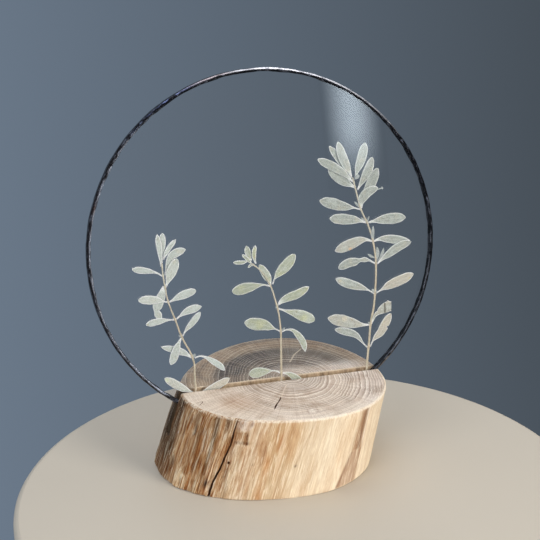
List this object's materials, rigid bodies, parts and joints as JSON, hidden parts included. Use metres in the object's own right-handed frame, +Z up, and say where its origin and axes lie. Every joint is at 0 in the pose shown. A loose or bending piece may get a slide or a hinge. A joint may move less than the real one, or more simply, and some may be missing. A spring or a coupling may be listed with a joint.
{
  "type": "pressed flower frame",
  "caption": "Round glass disc with pressed leafy sprigs sealed between its panes, closed by a dark soldered rim and leaning in the saw slot of a leaning log base.",
  "frame": {"origin": "centre of the log's underside, on the surface it stands on", "axes": "+X along the slot to the right, +Y to the back, where the disc leans to, +Z up"},
  "size_m": [0.2, 0.1176, 0.2187],
  "materials": {
    "log_wood": "bare sawn and debarked wood, growth rings on the sawn face, streaked side",
    "clear_glass": "clear thin picture glass, polished",
    "dark_solder": "lumpy solder with a near-black patina and bright worn glints",
    "pressed_stem": "dry pale tan stalk, matt",
    "pressed_leaf": "dry silvery grey-green leaf, felted and matt, pale along its edge"
  },
  "bodies": {
    "root": {"log_base": "log_wood", "front_pane": "clear_glass", "back_pane": "clear_glass", "solder_rim": "dark_solder", "leaf_left_01": "pressed_leaf", "leaf_left_02": "pressed_leaf", "leaf_left_03": "pressed_leaf", "leaf_left_04": "pressed_leaf", "leaf_left_05": "pressed_leaf", "leaf_left_06": "pressed_leaf", "leaf_left_07": "pressed_leaf", "leaf_left_08": "pressed_leaf", "leaf_left_09": "pressed_leaf", "leaf_left_10": "pressed_leaf", "leaf_left_11": "pressed_leaf", "leaf_left_12": "pressed_leaf", "leaf_left_13": "pressed_leaf", "leaf_left_14": "pressed_leaf", "leaf_left_15": "pressed_leaf", "leaf_left_16": "pressed_leaf", "leaf_left_17": "pressed_leaf", "leaf_middle_01": "pressed_leaf", "leaf_middle_02": "pressed_leaf", "leaf_middle_03": "pressed_leaf", "leaf_middle_04": "pressed_leaf", "leaf_middle_05": "pressed_leaf", "leaf_middle_06": "pressed_leaf", "leaf_middle_07": "pressed_leaf", "leaf_middle_08": "pressed_leaf", "leaf_middle_09": "pressed_leaf", "leaf_middle_10": "pressed_leaf", "leaf_middle_11": "pressed_leaf", "leaf_middle_12": "pressed_leaf", "leaf_middle_13": "pressed_leaf", "leaf_middle_14": "pressed_leaf", "leaf_right_01": "pressed_leaf", "leaf_right_02": "pressed_leaf", "leaf_right_03": "pressed_leaf", "leaf_right_04": "pressed_leaf", "leaf_right_05": "pressed_leaf", "leaf_right_06": "pressed_leaf", "leaf_right_07": "pressed_leaf", "leaf_right_08": "pressed_leaf", "leaf_right_09": "pressed_leaf", "leaf_right_10": "pressed_leaf", "leaf_right_11": "pressed_leaf", "leaf_right_12": "pressed_leaf", "leaf_right_13": "pressed_leaf", "leaf_right_14": "pressed_leaf", "leaf_right_15": "pressed_leaf", "leaf_right_16": "pressed_leaf", "leaf_right_17": "pressed_leaf", "leaf_right_18": "pressed_leaf", "leaf_right_19": "pressed_leaf", "leaf_right_20": "pressed_leaf", "leaf_right_21": "pressed_leaf", "stem_left": "pressed_stem", "stem_middle": "pressed_stem", "stem_right": "pressed_stem"}
  },
  "joints": []
}
